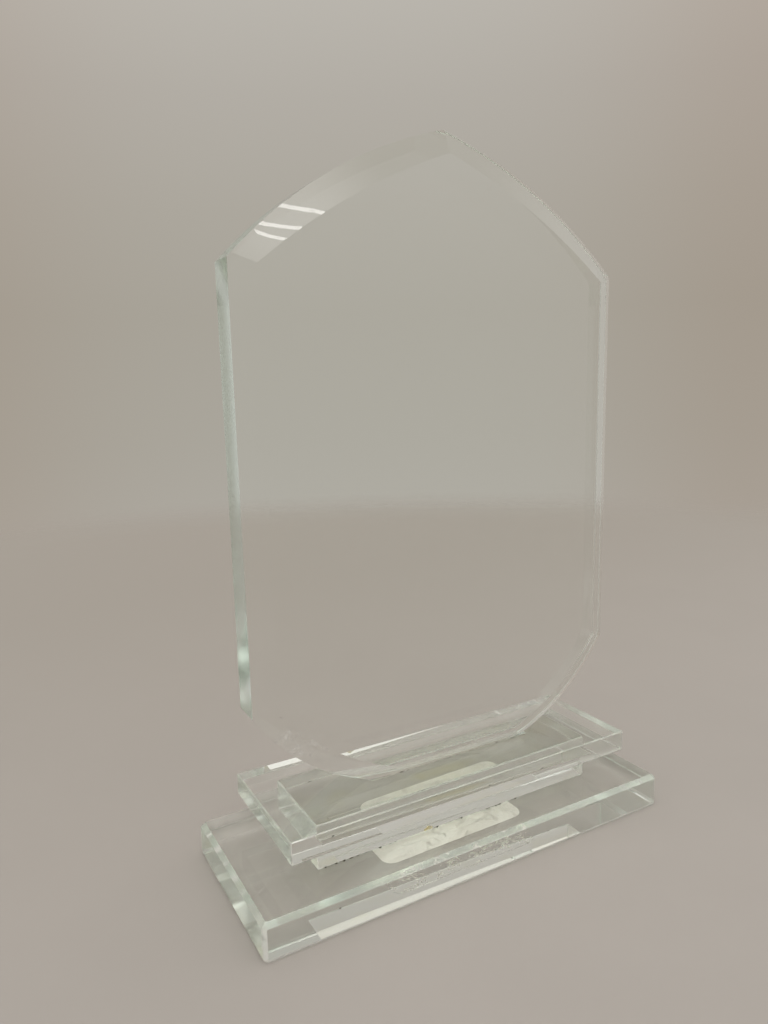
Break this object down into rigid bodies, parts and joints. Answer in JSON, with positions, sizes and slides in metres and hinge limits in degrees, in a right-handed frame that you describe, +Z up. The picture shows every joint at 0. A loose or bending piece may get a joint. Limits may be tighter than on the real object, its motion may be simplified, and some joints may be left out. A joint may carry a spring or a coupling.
{
  "type": "glass award",
  "caption": "Upright bevelled glass award plate with an arched, pointed top, bonded to a stepped clear glass base.",
  "frame": {"origin": "centre of the underside of the bottom slab, on the surface that the award stands on", "axes": "+Z up; +X along the length of the base, to the right of someone who faces the award; the bevelled front of the plate looks along -Y"},
  "size_m": [0.133, 0.0516, 0.2001],
  "materials": {
    "plate_glass": "polished clear float glass, slightly green at the edges",
    "base_glass": "polished clear float glass, slightly green at the edges",
    "adhesive": "clear cured adhesive film with fine specks at its edge",
    "label": "plain cream paper, blank"
  },
  "bodies": {
    "root": {"upright_plate": "plate_glass", "upper_slab": "base_glass", "spacer_slab": "base_glass", "bottom_slab": "base_glass", "adhesive_plate_to_upper": "adhesive", "adhesive_upper_to_spacer": "adhesive", "adhesive_spacer_to_bottom": "adhesive", "underside_label": "label"}
  },
  "joints": []
}
